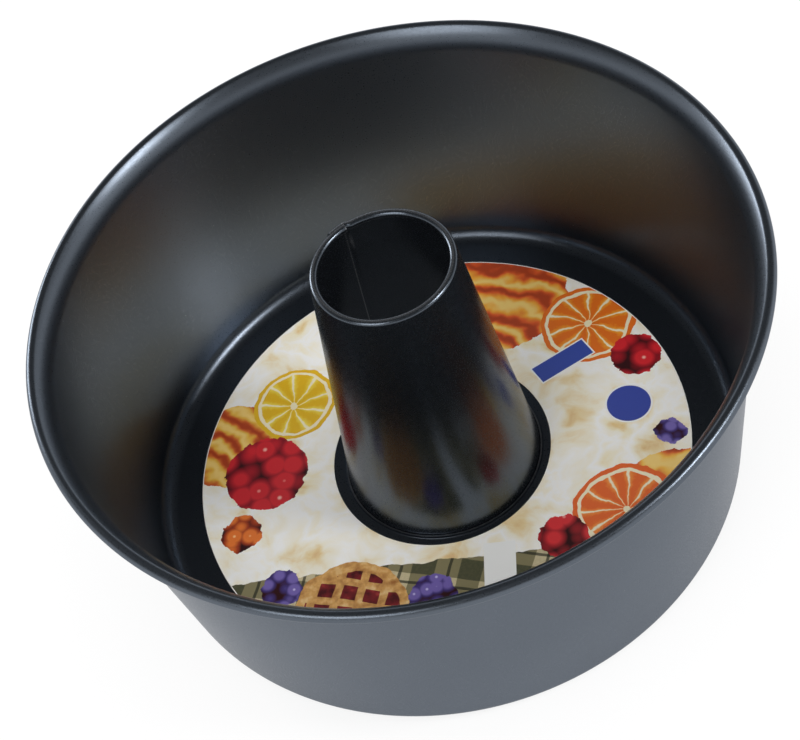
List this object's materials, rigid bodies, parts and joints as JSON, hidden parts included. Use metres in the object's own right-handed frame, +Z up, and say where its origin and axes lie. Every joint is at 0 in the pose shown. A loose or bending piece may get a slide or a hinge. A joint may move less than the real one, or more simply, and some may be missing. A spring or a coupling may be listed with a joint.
{
  "type": "angel food cake pan",
  "caption": "Round, deep cake pan with a tapered open centre tube, sloping wall, rolled rim and a loose printed card on its floor.",
  "frame": {"origin": "bottom centre: on the tube's axis, on the table that the pan stands on", "axes": "+Z up along the centre tube's axis, out of the open mouth; -Y is the side towards the picture's viewer, and the tube's lap seam is at the back, 110 degrees from +X"},
  "size_m": [0.2654, 0.2654, 0.1175],
  "materials": {
    "coated_steel": "dark charcoal non-stick coat on drawn steel, satin with a fine speckle",
    "steel_wire": "drawn steel wire, closed inside the rolled rim",
    "coated_tube": "dark charcoal non-stick coat on rolled sheet, worn bright on the mouth's curl and the seam's edge",
    "printed_card": "thin coated card, printed in colour, glossy"
  },
  "bodies": {
    "pan": {"pan_shell": "coated_steel", "rim_wire": "steel_wire", "centre_tube": "coated_tube"},
    "card": {"card_insert": "printed_card"}
  },
  "joints": [
    {"name": "card_lift", "type": "slide", "parent": "pan", "child": "card", "axis": [0, 0, 1], "range_m": [0, 0.13]}
  ]
}
